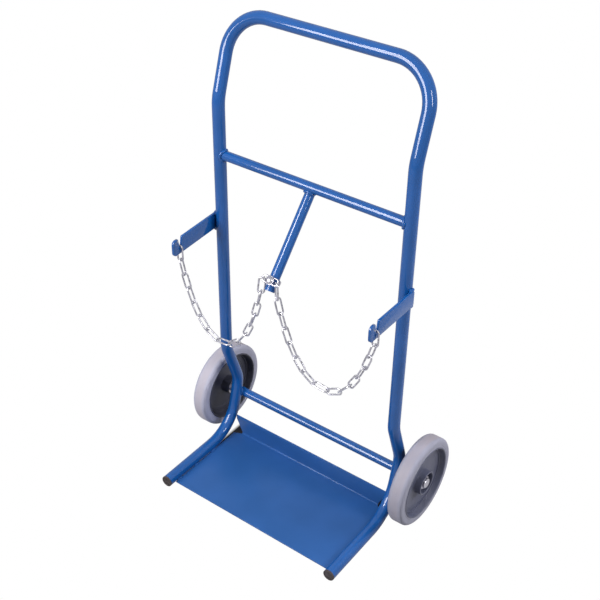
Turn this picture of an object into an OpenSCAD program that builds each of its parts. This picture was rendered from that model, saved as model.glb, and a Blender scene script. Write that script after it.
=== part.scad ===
// Torch cart for one oxygen and one acetylene cylinder.
// One bent tube makes the handle, the uprights and the two runners that lie on the floor.
// Frame: +X right, +Y back (towards the wheels), +Z up, origin on the floor under the middle.

/* [Frame tube] */
// Outer diameter of the bent tube
tube_d = 25.4; // [22:0.1:30]
// Wall of the bent tube
tube_wall = 1.6; // [1.2:0.1:2.5]
// Distance between the axes of the two uprights
track_w = 437; // [400:1:480]
// Overall height to the top of the handle
frame_h = 1021; // [950:1:1100]
// Height of the bend where the handle starts to lean back
handle_bend_z = 847; // [800:1:880]
// How far the handle bar lies behind the uprights
handle_setback = 50; // [20:1:80]
// Radius of the bend below the handle
handle_bend_r = 100; // [60:1:140]
// Radius of the two top corners of the handle
corner_r = 79; // [60:1:110]
// Height where the upright starts to lean back towards the wheels
jog_top_z = 253.5; // [230:0.5:280]
// How far the tube lies behind the upright at the back of the jog
jog_setback = 37.5; // [25:0.5:45]
// Height of the back of the jog
jog_z = 146.8; // [135:0.1:160]
// Radius of the bend at the top of the jog
jog_top_r = 72; // [40:1:90]
// Radius of the bend at the back of the jog
jog_r = 60; // [40:1:65]
// How far the corner of the toe bend lies behind the upright
toe_setback = 7; // [0:0.5:15]
// Radius of the bend into the runners
toe_r = 90; // [60:1:95]

/* [Depth] */
// Overall depth from the runner plugs to the back of the tyres
cart_l = 364; // [350:1:400]

/* [Cross tubes] */
// Outer diameter of the upper crossbar and of the chain strut
bar_d = 20; // [18:0.1:22]
// Wall of these two tubes
bar_wall = 1.5; // [1.2:0.1:2]
// Height of the upper crossbar
crossbar_z = 732.3; // [700:0.1:760]
// Slope of the chain strut below the horizontal
strut_slope = 50.8; // [45:0.1:56]
// Length of the chain strut from the plane of the uprights
strut_l = 198.6; // [180:0.1:215]
// Height at which the strut axis meets the plane of the uprights
strut_z = 720.3; // [718:0.1:724]

/* [Chain brackets] */
// Thickness of the flat bar
bracket_t = 5; // [4:0.5:6]
// Height of the flat bar
bracket_h = 35; // [30:1:40]
// Height of the middle of the flat bar
bracket_z = 579.5; // [560:0.5:600]
// How far the bracket reaches in front of the upright's axis
bracket_reach = 143; // [130:1:150]
// How far the chain slot lies in front of the upright's axis
slot_reach = 121; // [115:1:125]
// Width of the slot at its bottom
slot_w = 6.6; // [5:0.1:8]
// Width of the slot's mouth
slot_mouth_w = 13; // [10:0.5:15]
// Height of the bottom of the slot above the bar's lower edge
slot_floor = 14; // [10:0.5:18]
// Angle by which the left bracket was welded on turned towards the cart's middle
left_toe_in = 3.8; // [0:0.1:5]

/* [Base plate] */
// Thickness of the sheet
plate_t = 2.5; // [2:0.1:4]
// Height of the plate's top
plate_z = 7; // [6:0.5:9]
// How far the front edge lies in front of the uprights
plate_front = 200; // [190:1:210]
// How far the turned-up flange lies behind the uprights
flange_setback = 15.2; // [12:0.1:18]
// Height of the flange's top
flange_z = 54; // [45:1:60]
// Inside radius of the fold
fold_r = 3; // [2:0.5:5]
// Width left at the fold between the two cut corners
fold_w = 378; // [360:1:390]

/* [Wheels] */
// Diameter of the tyre
tyre_d = 200; // [180:1:206]
// Width of the tyre
tyre_w = 36; // [30:1:42]
// Diameter of the rim seat inside the tyre
rim_d = 162; // [150:1:170]
// Distance from the cart's middle to the middle of each tyre
wheel_x = 263; // [258:0.5:270]
// Diameter of the axle
axle_d = 20; // [16:0.5:20]
// Distance of the axle behind the uprights
axle_setback = 46.5; // [44:0.5:50]
// Radial running clearance of the rim on the axle
axle_fit = 0.05; // [0.02:0.01:0.1]
// Diameter of the boss round the axle
boss_d = 54; // [44:1:60]

/* [Chain] */
// Wire diameter of the chain
wire_d = 3.5; // [3:0.1:4]
// Distance from joint to joint
pitch = 31.4; // [30.5:0.1:32]
// Outside width of a link
link_w = 16; // [15:0.5:18]
// Number of links between the two end links of one side
run_links = 13; // [13:2:15]
// Play between two links at each joint
link_play = 0.8; // [0.6:0.05:0.9]
// Angle from plumb at which the link hooked in the clamped link hangs
hook_tilt = 5.7; // [4:0.1:7]
// Direction in which that link leans, from straight sideways towards the front
hook_heading = 31.6; // [28:0.1:34]
// Twist of the first free link about the chain, passing through nothing to the opposite twist
chain_twist = 20; // [0:1:22]
// Distance of the chain bolt from the plane of the uprights along the strut
bolt_s = 179; // [170:0.5:185]
// Diameter of the chain bolt
bolt_d = 7.8; // [6:0.1:8]
// Diameter of the bolt's domed head
bolt_head_d = 16; // [14:0.5:17]

/* [Hidden] */
$fn = 64;

// Colours
paint = [0.21, 0.38, 0.64];
zinc = [0.75, 0.76, 0.78];
rubber = [0.62, 0.61, 0.65];
moulded = [0.25, 0.25, 0.28];
black = [0.12, 0.11, 0.11];

// Clearance between pieces of one body that touch
touch = 0.03;
// How much thicker the frame tube's wall is in its bends, on the inside and on the outside
bend_step = 0.05;
// How far each straight of that tube runs into the bend at its end
bend_grip = 1;
tube_r = tube_d / 2;
bar_r = bar_d / 2;
axle_r = axle_d / 2;
half_w = track_w / 2;
tyre_r = tyre_d / 2;

// Places along Y: the overall depth is centred on the origin
axle_y = cart_l / 2 - tyre_r;
upright_y = axle_y - axle_setback;
plug_t = 3.5;
runner_y = -cart_l / 2 + plug_t;
top_z = frame_h - tube_r;
top_y = upright_y + handle_setback;
jog_y = upright_y + jog_setback;
toe_y = upright_y + toe_setback;

// Direction down the strut, and square to it out of its front side
strut_dir = [0, -cos(strut_slope), -sin(strut_slope)];
strut_out = [0, -sin(strut_slope), cos(strut_slope)];
strut_top = [0, upright_y, strut_z];

// Chain geometry
wire_r = wire_d / 2;
link_mid = (link_w - wire_d) / 2;
// distance between the two end wires of a link, centre to centre
link_span = pitch + link_play + wire_d;
// how far one link's end wire lies from the middle of the next link's end bend
link_seat = link_mid - wire_d - link_play;
slot_z = bracket_z - bracket_h / 2 + slot_floor;
centre_link_pos = strut_top + bolt_s * strut_dir + (bar_r + wire_r + touch) * strut_out;
// top wire of the link hooked in the clamped link's loop, and the way it hangs
bolt_end = centre_link_pos + [link_span / 2 - wire_r, 0, 0] + 0.4 * strut_dir + 3.47 * strut_out;
hook_dir = [
  sin(hook_tilt) * cos(hook_heading), -sin(hook_tilt) * sin(hook_heading), -cos(hook_tilt)
];
// top wire of the link that sits in a slot, its bend clear of the slot's two edges
slot_bend_r = link_mid - wire_r - 0.35;
slot_lift = link_mid - sqrt(slot_bend_r * slot_bend_r - bracket_t * bracket_t / 4);
bracket_mid = tube_r + touch + bracket_t / 2;
function slot_end(toe) = [
  half_w + bracket_mid * cos(toe) - slot_reach * sin(toe),
  upright_y - bracket_mid * sin(toe) - slot_reach * cos(toe),
  slot_z + slot_lift
];

// ---------- bent tubes ----------

function unit(v) = v / norm(v);
function heading(v) = atan2(v.y, v.x);

// One rounded corner of a path: [start, end, centre, start angle, turn]
function corner(before, at, after, r) =
  let (
    u = unit(before - at),
    v = unit(after - at),
    half = acos(u * v) / 2,
    start = at + u * r / tan(half),
    finish = at + v * r / tan(half),
    centre = at + unit(u + v) * r / sin(half),
    side = sign(cross(u, v))
  )
  [start, finish, centre, heading(side > 0 ? finish - centre : start - centre), 180 - 2 * half];

module tube_section(r, wall) {
  difference() {
    circle(r = r);
    circle(r = r - wall);
  }
}

// Straight tube from p to q in the drawing plane, run on past p and q into the bends there
module straight_tube(p, q, past_p, past_q) {
  translate([p.x, p.y, 0])
    rotate([0, 0, heading(q - p)])
      rotate([0, 90, 0])
        translate([0, 0, -past_p])
          linear_extrude(norm(q - p) + past_p + past_q)
            tube_section(tube_r, tube_wall);
}

// Bend about the origin, its wall a hair thicker than the straights'
module bend(radius, angle) {
  rotate_extrude(angle = angle)
    translate([radius, 0])
      tube_section(tube_r + bend_step, tube_wall + 2 * bend_step);
}

// Corners of one side seen from the side: [y, z, bend radius]
side_path = [
  [runner_y, tube_r, 0],
  [toe_y, tube_r, toe_r],
  [jog_y, jog_z, jog_r],
  [upright_y, jog_top_z, jog_top_r],
  [upright_y, handle_bend_z, handle_bend_r],
  [top_y, top_z, corner_r]
];
function flat(p) = [p.x, p.y];
side_bends = [
  for (i = [1 : len(side_path) - 2])
    corner(flat(side_path[i - 1]), flat(side_path[i]), flat(side_path[i + 1]), side_path[i].z)
];
leg_dir = unit(flat(side_path[5]) - flat(side_path[4]));
leg_end = flat(side_path[5]) - leg_dir * corner_r;
lean = atan2(top_y - upright_y, top_z - handle_bend_z);

module frame_side() {
  starts = concat([flat(side_path[0])], [for (b = side_bends) b[1]]);
  ends = concat([for (b = side_bends) b[0]], [leg_end]);
  rotate([90, 0, 90]) {
    for (i = [0 : len(starts) - 1])
      straight_tube(starts[i], ends[i], i == 0 ? 0 : bend_grip, bend_grip);
    for (i = [0 : len(side_bends) - 1])
      translate([side_bends[i][2].x, side_bends[i][2].y, 0])
        rotate([0, 0, side_bends[i][3]])
          bend(side_path[i + 1].z, side_bends[i][4]);
  }
}

module handle_top() {
  bar_half = half_w - corner_r;
  translate([0, top_y, top_z])
    rotate([-lean, 0, 0])
      rotate([90, 0, 0]) {
        straight_tube([-bar_half, 0], [bar_half, 0], bend_grip, bend_grip);
        for (side = [0, 1])
          mirror([side, 0, 0])
            translate([bar_half, -corner_r, 0])
              bend(corner_r, 90);
      }
}

// Round bar along X, centred on the cart
module cross_rod(y, z, r, length) {
  translate([0, y, z])
    rotate([0, 90, 0])
      cylinder(r = r, h = length, center = true);
}

module frame_tube() {
  color(paint)
    difference() {
      union() {
        handle_top();
        for (side = [-1, 1])
          translate([side * half_w, 0, 0])
            frame_side();
      }
      cross_rod(axle_y, tyre_r, axle_r + touch, track_w + 2 * tube_d);
    }
}

// Solid stand-in of the uprights' outside, for coping what is welded to them
module upright_outside(extra) {
  for (side = [-1, 1])
    translate([side * half_w, upright_y, bracket_z - 200])
      cylinder(r = tube_r + extra, h = 400);
}

module upper_crossbar() {
  color(paint)
    difference() {
      cross_rod(upright_y, crossbar_z, bar_r, track_w);
      cross_rod(upright_y, crossbar_z, bar_r - bar_wall, track_w + 1);
      upright_outside(touch);
    }
}

// Puts its children at a distance down the strut, their +Z pointing down the strut
module along_strut(s) {
  translate(strut_top + s * strut_dir)
    rotate([90 + strut_slope, 0, 0])
      children();
}

// Puts its children on the chain bolt's axis, their +Z pointing out of the strut's front
module on_bolt(out) {
  translate(strut_top + bolt_s * strut_dir + out * strut_out)
    rotate([strut_slope, 0, 0])
      children();
}

module chain_strut() {
  bolt_hole_d = bolt_d + 0.6;
  color(paint)
    difference() {
      along_strut(0)
        cylinder(r = bar_r, h = strut_l);
      along_strut(-1)
        cylinder(r = bar_r - bar_wall, h = strut_l + 2);
      cross_rod(upright_y, crossbar_z, bar_r + touch, 4 * bar_d);
      on_bolt(-bar_d)
        cylinder(d = bolt_hole_d, h = 2 * bar_d);
    }
}

module axle() {
  axle_len = 2 * (wheel_x + tyre_w / 2 + 2);
  color(paint)
    cross_rod(axle_y, tyre_r, axle_r, axle_len);
}

// ---------- chain brackets ----------

// Side view of a flat bar, front end at x0, with rounded corners
module bar_outline(x0, x1, y0, y1, front_r, back_r) {
  translate([x0 + front_r, y0])
    square([x1 - x0 - front_r - back_r, y1 - y0]);
  for (end = [[x0, x0 + front_r, front_r], [x1 - back_r, x1 - back_r, back_r]]) {
    translate([end[0], y0 + end[2]])
      square([end[2], y1 - y0 - 2 * end[2]]);
    for (y = [y0 + end[2], y1 - end[2]])
      translate([end[1], y])
        circle(r = end[2]);
  }
}

// Open-topped slot that holds an end link: round floor, wider mouth
module slot_outline(x, y0, y1) {
  floor_r = slot_w / 2;
  translate([x, y0 + floor_r])
    circle(r = floor_r);
  polygon([
    [x - floor_r, y0 + floor_r], [x + floor_r, y0 + floor_r],
    [x + slot_mouth_w / 2, y1 + 1], [x - slot_mouth_w / 2, y1 + 1]
  ]);
}

// Puts its children round the right upright, their origin on its axis at the floor
module at_upright(toe) {
  translate([half_w, upright_y, 0])
    rotate([0, 0, -toe])
      children();
}

module bracket(toe) {
  low_z = bracket_z - bracket_h / 2;
  color(paint)
    at_upright(toe)
      translate([tube_r + touch, 0, 0])
        rotate([90, 0, 90])
          linear_extrude(bracket_t)
            difference() {
              bar_outline(-bracket_reach, 3, low_z, low_z + bracket_h, 9, 5);
              slot_outline(-slot_reach, slot_z, low_z + bracket_h);
            }
}

module right_chain_bracket() {
  bracket(0);
}

module left_chain_bracket() {
  mirror([1, 0, 0]) bracket(left_toe_in);
}

// ---------- base plate ----------

// Side view of the folded sheet
module plate_section() {
  front_y = upright_y - plate_front;
  back_y = upright_y + flange_setback;
  outer_r = fold_r + plate_t;
  low_z = plate_z - plate_t;
  translate([front_y, low_z])
    square([back_y - outer_r - front_y, plate_t]);
  translate([back_y - plate_t, low_z + outer_r])
    square([plate_t, flange_z - low_z - outer_r]);
  translate([back_y - outer_r, low_z + outer_r])
    intersection() {
      difference() {
        circle(r = outer_r);
        circle(r = fold_r);
      }
      translate([0, -outer_r])
        square(outer_r);
    }
}

plate_half = half_w - tube_r - 0.3;

module base_plate() {
  fold_half = fold_w / 2;
  corner_cut = 8;
  fold_y = upright_y + flange_setback;
  color(paint)
    difference() {
      rotate([90, 0, 90])
        translate([0, 0, -plate_half])
          linear_extrude(2 * plate_half)
            plate_section();
      for (side = [0, 1])
        mirror([side, 0, 0]) {
          // corner of the flat
          translate([0, 0, plate_z - plate_t - 1])
            linear_extrude(plate_t + 2)
              polygon([
                [fold_half, fold_y - fold_r - plate_t],
                [plate_half + 1, fold_y - fold_r - plate_t - corner_cut],
                [plate_half + 1, fold_y + 1], [fold_half, fold_y + 1]
              ]);
          // corner of the flange
          translate([0, fold_y + 1, 0])
            rotate([90, 0, 0])
              linear_extrude(plate_t + 2)
                polygon([
                  [fold_half, 0], [plate_half + 1, 0],
                  [plate_half + 1, flange_z - corner_cut], [fold_half, plate_z + fold_r]
                ]);
        }
    }
}

// ---------- runner plugs ----------

module runner_plug() {
  shank_l = 14;
  rib_r = tube_r - tube_wall - touch;
  translate([0, runner_y, tube_r])
    rotate([90, 0, 0]) {
      // head with a raised rim and button
      difference() {
        cylinder(r = tube_r, h = plug_t);
        translate([0, 0, plug_t - 0.8])
          difference() {
            cylinder(r = tube_r - 2.2, h = 2);
            cylinder(r = tube_r - 6, h = 2);
          }
      }
      // hollow shank with ribs that grip the tube
      translate([0, 0, -shank_l])
        difference() {
          union() {
            cylinder(r = rib_r - 0.6, h = shank_l);
            for (z = [1 : 4 : shank_l - 3])
              translate([0, 0, z])
                cylinder(r = rib_r, h = 1.4);
          }
          translate([0, 0, -1])
            cylinder(r = rib_r - 2.4, h = shank_l);
        }
    }
}

module right_runner_plug() {
  color(black)
    translate([half_w, 0, 0])
      runner_plug();
}

module left_runner_plug() {
  color(black)
    translate([-half_w, 0, 0])
      runner_plug();
}

// ---------- welds ----------

module crossbar_welds() {
  weld_l = 9;
  color(paint)
    difference() {
      for (side = [0, 1])
        mirror([side, 0, 0])
          translate([half_w - tube_r - 3.5, upright_y, crossbar_z])
            rotate([0, 90, 0])
              cylinder(r1 = bar_r + 0.4, r2 = bar_r + 4, h = weld_l);
      cross_rod(upright_y, crossbar_z, bar_r + touch, track_w);
      upright_outside(touch);
    }
}

module strut_weld() {
  color(paint)
    difference() {
      along_strut(2)
        cylinder(r1 = bar_r + 4, r2 = bar_r + 0.4, h = 10);
      along_strut(-20)
        cylinder(r = bar_r + touch, h = strut_l);
      cross_rod(upright_y, crossbar_z, bar_r + touch, 4 * bar_d);
    }
}

// Rings of weld where the axle leaves each side of the tubes
module axle_welds() {
  bead_r = 2.4;
  color(paint)
    difference() {
      for (side = [-1, 1], face = [-1, 1])
        translate([side * half_w + face * (tube_r - 2.5), axle_y, tyre_r])
          rotate([0, 90, 0])
            rotate_extrude()
              translate([axle_r, 0])
                circle(r = bead_r);
      cross_rod(axle_y, tyre_r, axle_r + touch, 2 * track_w);
      for (side = [-1, 1])
        translate([side * half_w, side_bends[0][1].x, side_bends[0][1].y])
          rotate([heading(side_bends[1][0] - side_bends[0][1]) - 90, 0, 0])
            translate([0, 0, -20])
              cylinder(r = tube_r + touch, h = 90);
    }
}

// Blobs of weld above and below one bracket where it crosses the upright
module bracket_weld_pair(toe) {
  blob_r = 4;
  at_upright(toe)
    translate([0, 0, bracket_z])
      difference() {
        for (z = [-1, 1])
          translate([tube_r + 0.5, -1, z * (bracket_h / 2 + 0.6)])
            sphere(r = blob_r);
        cylinder(r = tube_r + touch, h = 2 * bracket_h, center = true);
        cube([4 * tube_d, 4 * tube_d, bracket_h + 2 * touch], center = true);
      }
}

module bracket_welds() {
  color(paint) {
    bracket_weld_pair(0);
    mirror([1, 0, 0]) bracket_weld_pair(left_toe_in);
  }
}

// Short tacks in the groove between the plate's edges and the runners
module plate_welds() {
  tack_l = 14;
  tack_r = 2.6;
  color(paint)
    difference() {
      for (side = [-1, 1], y = [-152, -96, -40])
        translate([side * (plate_half + 1), y, plate_z - 0.6])
          rotate([90, 0, 0])
            cylinder(r = tack_r, h = tack_l, center = true);
      for (side = [-1, 1])
        translate([side * half_w, 0, tube_r])
          rotate([90, 0, 0])
            cylinder(r = tube_r + touch, h = 2 * cart_l, center = true);
      translate([0, 0, plate_z])
        cube([2 * (plate_half + touch), 2 * cart_l, 20], center = true);
    }
}

// ---------- chain bolt ----------

washer_t = 1.6;
// heights along the bolt's axis above the strut's axis
link_top = bar_r + touch + wire_d;
front_washer_z = link_top + touch;
head_z = front_washer_z + washer_t + touch;
back_washer_z = -bar_r - touch - washer_t;
nut_h = 6.5;
nut_z = back_washer_z - touch - nut_h;

module chain_bolt() {
  head_h = 5;
  head_r = bolt_head_d / 2;
  dome_r = (head_r * head_r + head_h * head_h) / (2 * head_h);
  color(zinc) {
    on_bolt(head_z)
      intersection() {
        cylinder(r = head_r, h = head_h);
        translate([0, 0, head_h - dome_r])
          sphere(r = dome_r);
      }
    on_bolt(nut_z - 3)
      cylinder(d = bolt_d, h = head_z - nut_z + 3);
  }
}

module washer(inner_r, outer_r, t) {
  difference() {
    cylinder(r = outer_r, h = t);
    translate([0, 0, -1])
      cylinder(r = inner_r, h = t + 2);
  }
}

module bolt_washers() {
  color(zinc)
    for (z = [front_washer_z, back_washer_z])
      on_bolt(z)
        washer(bolt_d / 2 + 0.2, 8.6, washer_t);
}

module chain_nut() {
  across_flats = 13;
  color(zinc)
    on_bolt(nut_z)
      difference() {
        cylinder(d = across_flats / cos(30), h = nut_h, $fn = 6);
        translate([0, 0, -1])
          cylinder(d = bolt_d + 0.1, h = nut_h + 2);
      }
}

// ---------- chain ----------

// One link, its length along X and its width along Y
module link() {
  straight = link_span - 2 * link_mid;
  for (side = [-1, 1])
    translate([-straight / 2, side * link_mid, 0])
      rotate([0, 90, 0])
        cylinder(r = wire_r, h = straight, $fn = 24);
  for (end = [0, 1])
    mirror([end, 0, 0])
      translate([straight / 2, 0, 0])
        rotate([0, 0, -90])
          rotate_extrude(angle = 180)
            translate([link_mid, 0])
              circle(r = wire_r, $fn = 24);
}

module centre_link() {
  color(zinc)
    translate(centre_link_pos)
      rotate([strut_slope, 0, 0])
        link();
}

// The links between the two end links hang in one upright plane. Equal links hang with slopes
// that grow by equal steps, so the slope of link i is (i - middle) / slack. Odd links lie
// across that plane and even links along it; between two links stands one seat, at a half i.
// The run starts and ends at the middle of the bend that each end link holds it by.
run_start = bolt_end + (link_span - link_mid) * hook_dir;
function run_end(toe) = slot_end(toe) - [0, 0, link_span - link_mid];
steps = [for (i = [0.5 : 0.5 : run_links + 0.5]) i];

function step_length(i) =
  i != floor(i) ? link_seat
    : i % 2 == 0 ? link_span - 2 * link_mid
    : link_span;
function slope(i, middle, slack) = (i - middle) / slack;
function step(i, middle, slack) =
  step_length(i) * unit([1, slope(i, middle, slack)]);
function end_of(n, middle, slack) =
  n == 0 ? [0, 0] : end_of(n - 1, middle, slack) + step(steps[n - 1], middle, slack);
// both searches halve an interval until the run ends at the slot's end link
function find_middle(rise, slack, low = 0, high = 20, n = 40) =
  let (mid = (low + high) / 2)
  n == 0 ? mid
    : end_of(len(steps), mid, slack).y > rise ? find_middle(rise, slack, mid, high, n - 1)
    : find_middle(rise, slack, low, mid, n - 1);
function find_slack(span, rise, low = 0.05, high = 20, n = 40) =
  let (mid = (low + high) / 2)
  n == 0 ? mid
    : end_of(len(steps), find_middle(rise, mid), mid).x < span
      ? find_slack(span, rise, mid, high, n - 1)
    : find_slack(span, rise, low, mid, n - 1);
// how the run of one side hangs: [direction seen from above, middle, slack]
function hang(toe) =
  let (
    way = run_end(toe) - run_start,
    slack = find_slack(norm([way.x, way.y]), way.z)
  )
  [heading(way), find_middle(way.z, slack), slack];

// Puts its children at link i of a run, their +X pointing along the chain
module at_link(i, run) {
  start = end_of(2 * i - 1, run[1], run[2]);
  translate(run_start)
    rotate([0, 0, run[0]])
      translate([start.x, 0, start.y])
        rotate([0, -atan(slope(i, run[1], run[2])), 0])
          translate([step_length(i) / 2, 0, 0])
            children();
}

module bolt_end_link() {
  color(zinc)
    translate(bolt_end)
      rotate([0, 0, -hook_heading])
        rotate([0, 90 - hook_tilt, 0])
          translate([link_span / 2, 0, 0])
            rotate([90, 0, 0])
              link();
}

module slot_end_link(toe) {
  color(zinc)
    translate(slot_end(toe) - [0, 0, link_span / 2])
      rotate([0, 0, -toe])
        rotate([0, 90, 0])
          rotate([90, 0, 0])
            link();
}

module chain_links(toe) {
  run = hang(toe);
  color(zinc)
    for (i = [1 : run_links])
      at_link(i, run)
        rotate([chain_twist * (1 - 2 * (i - 1) / (run_links - 1)), 0, 0])
          rotate([i % 2 == 0 ? 90 : 0, 0, 0])
            link();
}

module right_bolt_end_link() { bolt_end_link(); }
module right_slot_end_link() { slot_end_link(0); }
module right_chain_links() { chain_links(0); }
module left_bolt_end_link() { mirror([1, 0, 0]) bolt_end_link(); }
module left_slot_end_link() { mirror([1, 0, 0]) slot_end_link(left_toe_in); }
module left_chain_links() { mirror([1, 0, 0]) chain_links(left_toe_in); }

// ---------- wheels ----------

hub_in = -tyre_w / 2 - 2;
hub_out = tyre_w / 2 - 5;

// Puts its children at the right wheel's middle, their +Z pointing out of the cart
module at_wheel() {
  translate([wheel_x, axle_y, tyre_r])
    rotate([0, 90, 0])
      children();
}

module tyre() {
  shoulder_r = 8.5;
  color(rubber)
    at_wheel()
      rotate_extrude() {
        translate([rim_d / 2, -tyre_w / 2])
          square([tyre_r - shoulder_r - rim_d / 2, tyre_w]);
        translate([tyre_r - shoulder_r, shoulder_r - tyre_w / 2])
          square([shoulder_r, tyre_w - 2 * shoulder_r]);
        for (side = [-1, 1])
          translate([tyre_r - shoulder_r, side * (tyre_w / 2 - shoulder_r)])
            circle(r = shoulder_r);
      }
}

// Moulded rim: a deep dish each side of one web, a boss with a ring-shaped recess
module rim() {
  seat_r = rim_d / 2 - touch;
  face = tyre_w / 2 + 0.8;
  web_out = 5;
  web_in = 0;
  boss_r = boss_d / 2;
  boss_face = tyre_w / 2 + 1.8;
  ring_t = 3.5;
  sleeve_r = 15.5;
  recess = web_out + 1;
  bore_r = axle_r + axle_fit;
  back_boss_r = 19;
  color(moulded)
    at_wheel()
      rotate_extrude()
        polygon([
          [bore_r, hub_in], [back_boss_r, hub_in], [back_boss_r + 2, web_in],
          [seat_r - 5, web_in], [seat_r - 2, -face], [seat_r, -face],
          [seat_r, face], [seat_r - 2, face], [seat_r - 5, web_out],
          [boss_r + 1.5, web_out], [boss_r, boss_face], [boss_r - ring_t, boss_face],
          [boss_r - ring_t, recess], [sleeve_r, recess], [sleeve_r, hub_out], [bore_r, hub_out]
        ]);
}

module axle_spacer() {
  start = half_w + tube_r + 0.3 - wheel_x;
  color(zinc)
    at_wheel()
      translate([0, 0, start])
        washer(axle_r + touch, axle_r + 3, hub_in - 0.3 - washer_t - touch - start);
}

module inner_washer() {
  color(zinc)
    at_wheel()
      translate([0, 0, hub_in - 0.3 - washer_t])
        washer(axle_r + touch, axle_r + 7, washer_t);
}

module outer_washer() {
  color(zinc)
    at_wheel()
      translate([0, 0, hub_out + 0.3])
        washer(axle_r + touch, axle_r + 5, washer_t);
}

// Domed cap pushed on to the end of the axle
module axle_cap() {
  wall = 1;
  start = hub_out + 0.3 + washer_t + touch;
  axle_end = tyre_w / 2 + 2;
  cap_r = axle_r + touch + wall;
  edge_r = 3;
  color(zinc)
    at_wheel()
      difference() {
        union() {
          translate([0, 0, start])
            cylinder(r = cap_r, h = axle_end + touch + wall - edge_r - start);
          translate([0, 0, axle_end + touch + wall - edge_r]) {
            cylinder(r = cap_r - edge_r, h = edge_r);
            rotate_extrude()
              translate([cap_r - edge_r, 0])
                circle(r = edge_r);
          }
        }
        translate([0, 0, start - 5])
          cylinder(r = axle_r + touch, h = axle_end + touch - start + 5);
      }
}

module left_tyre() { mirror([1, 0, 0]) tyre(); }
module right_tyre() { tyre(); }
module left_rim() { mirror([1, 0, 0]) rim(); }
module right_rim() { rim(); }
module left_axle_spacer() { mirror([1, 0, 0]) axle_spacer(); }
module right_axle_spacer() { axle_spacer(); }
module left_inner_washer() { mirror([1, 0, 0]) inner_washer(); }
module right_inner_washer() { inner_washer(); }
module left_outer_washer() { mirror([1, 0, 0]) outer_washer(); }
module right_outer_washer() { outer_washer(); }
module left_axle_cap() { mirror([1, 0, 0]) axle_cap(); }
module right_axle_cap() { axle_cap(); }

frame_tube();
upper_crossbar();
chain_strut();
axle();
left_chain_bracket();
right_chain_bracket();
base_plate();
left_runner_plug();
right_runner_plug();
crossbar_welds();
strut_weld();
axle_welds();
bracket_welds();
plate_welds();
chain_bolt();
bolt_washers();
chain_nut();
centre_link();
left_axle_spacer();
right_axle_spacer();
left_inner_washer();
right_inner_washer();
left_outer_washer();
right_outer_washer();
left_axle_cap();
right_axle_cap();
left_tyre();
left_rim();
right_tyre();
right_rim();
left_bolt_end_link();
left_slot_end_link();
left_chain_links();
right_bolt_end_link();
right_slot_end_link();
right_chain_links();
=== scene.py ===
import bpy, bmesh, math
from mathutils import Matrix, Vector


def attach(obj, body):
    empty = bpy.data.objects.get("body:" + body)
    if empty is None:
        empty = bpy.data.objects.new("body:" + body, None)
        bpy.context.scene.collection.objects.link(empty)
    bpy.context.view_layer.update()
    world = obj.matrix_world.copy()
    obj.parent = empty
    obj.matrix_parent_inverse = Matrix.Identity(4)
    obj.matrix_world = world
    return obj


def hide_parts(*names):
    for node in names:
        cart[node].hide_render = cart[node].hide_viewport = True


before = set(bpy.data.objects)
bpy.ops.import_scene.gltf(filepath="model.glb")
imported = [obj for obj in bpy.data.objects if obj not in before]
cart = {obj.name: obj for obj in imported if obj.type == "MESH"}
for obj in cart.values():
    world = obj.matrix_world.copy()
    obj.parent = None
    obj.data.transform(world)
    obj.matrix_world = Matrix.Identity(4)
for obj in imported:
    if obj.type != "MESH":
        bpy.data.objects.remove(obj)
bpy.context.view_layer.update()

# ---------------------------------------------------------------- camera
# A three-quarter view from the front and above, at about two metres.
camera_data = bpy.data.cameras.new("camera")
camera_data.sensor_width = 36
camera_data.lens = 63.608
camera = bpy.data.objects.new("camera", camera_data)
camera.location = (1.00043, -1.37392, 1.69432)
camera.rotation_euler = [math.radians(a) for a in (54.8104, -0.7435, 36.426)]
bpy.context.scene.collection.objects.link(camera)
bpy.context.scene.camera = camera

# ---------------------------------------------------------------- bent frame tube
# One 25 mm steel tube, bent to make the handle, both uprights and both runners, then
# powder coated in glossy blue together with everything that is welded to it.


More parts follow.
